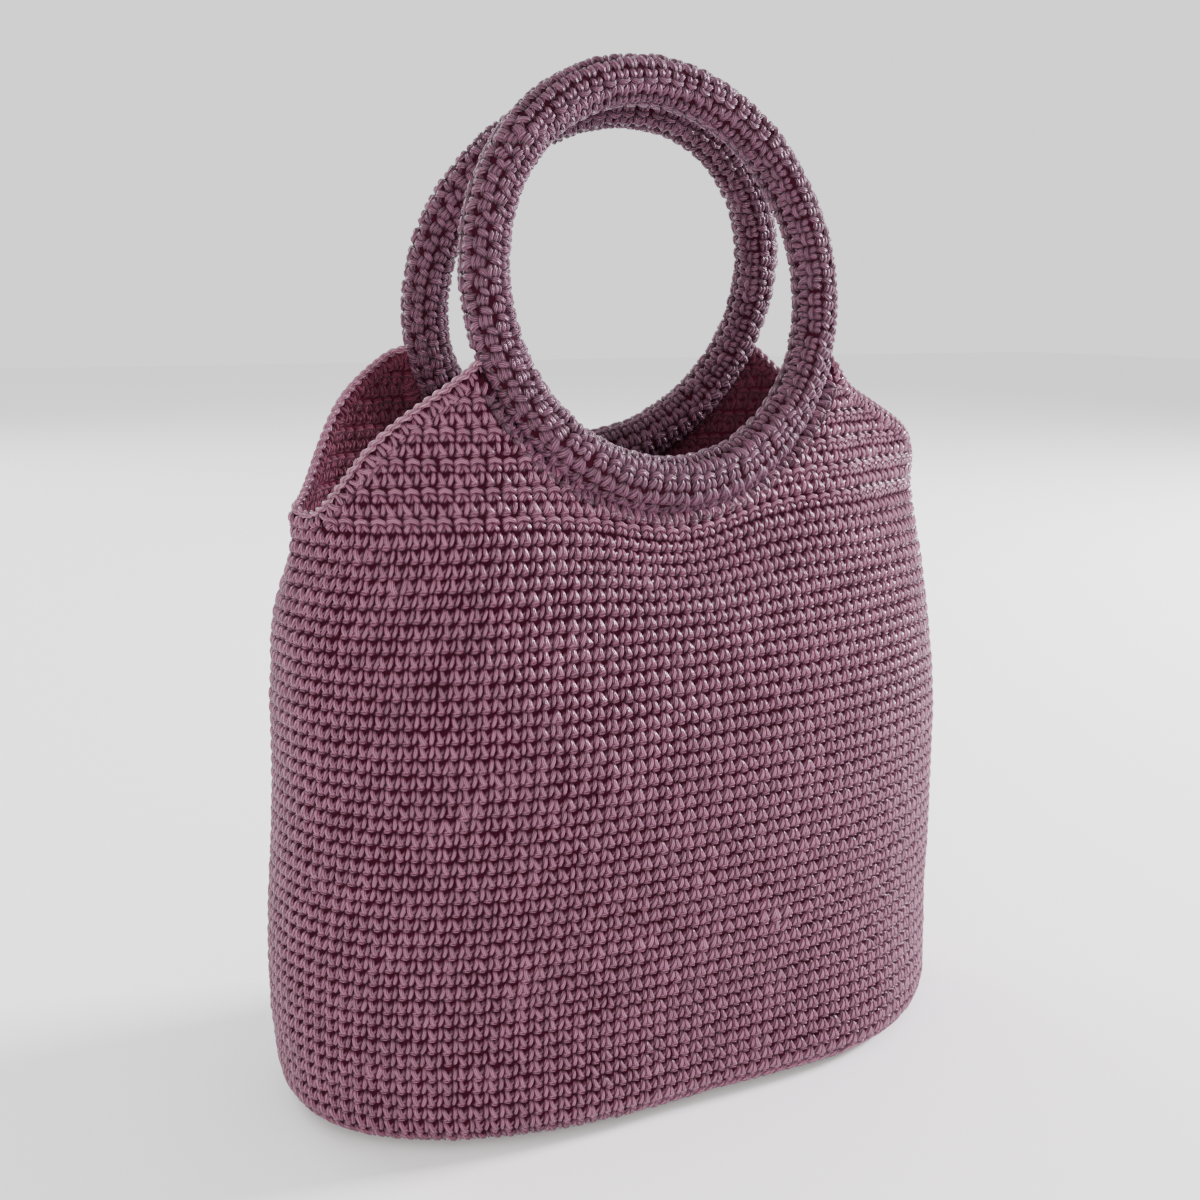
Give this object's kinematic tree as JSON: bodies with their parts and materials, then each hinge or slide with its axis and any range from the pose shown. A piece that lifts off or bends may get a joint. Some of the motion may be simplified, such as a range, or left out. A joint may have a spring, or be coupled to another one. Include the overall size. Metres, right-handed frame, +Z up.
{
  "type": "crochet ring-handled bag",
  "caption": "Soft crochet bag with a flat oval base, bulging walls and a flap on each side sewn to a covered ring handle.",
  "frame": {"origin": "middle of the base, on the surface that the bag stands on", "axes": "+Z up, the front faces -Y, the bag's width runs along X"},
  "size_m": [0.2779, 0.1408, 0.3701],
  "materials": {
    "yarn_body": "single crochet in mauve cotton yarn, soft sheen",
    "yarn_ring": "single crochet wound round a hard ring",
    "yarn_edging": "smooth chain edging of the same yarn"
  },
  "bodies": {
    "root": {"bag_body": "yarn_body", "ring_handle_front": "yarn_ring", "ring_handle_back": "yarn_ring", "edging_left": "yarn_edging", "edging_right": "yarn_edging"}
  },
  "joints": []
}
